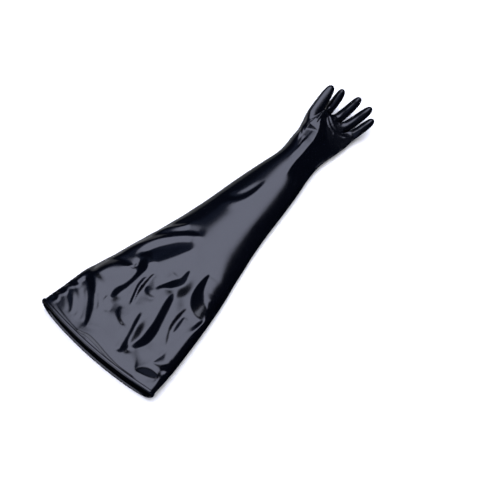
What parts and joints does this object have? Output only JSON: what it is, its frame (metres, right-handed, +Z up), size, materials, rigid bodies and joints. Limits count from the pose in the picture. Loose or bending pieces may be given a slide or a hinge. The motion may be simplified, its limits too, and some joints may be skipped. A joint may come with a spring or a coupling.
{
  "type": "cleanroom glove",
  "caption": "Long black rubber glove for a cleanroom isolator: a five-fingered hand and a wide tapered sleeve that ends in a rolled bead, lying palm up.",
  "frame": {"origin": "on the table under the middle of the glove's bounding box, in plan", "axes": "+Y from the cuff to the fingertips, +X to the little finger's side, +Z up out of the palm"},
  "size_m": [0.315, 0.8156, 0.0829],
  "materials": {
    "dipped_rubber": "gloss"
  },
  "bodies": {
    "root": {"glove_film": "dipped_rubber", "cuff_bead": "dipped_rubber"}
  },
  "joints": []
}
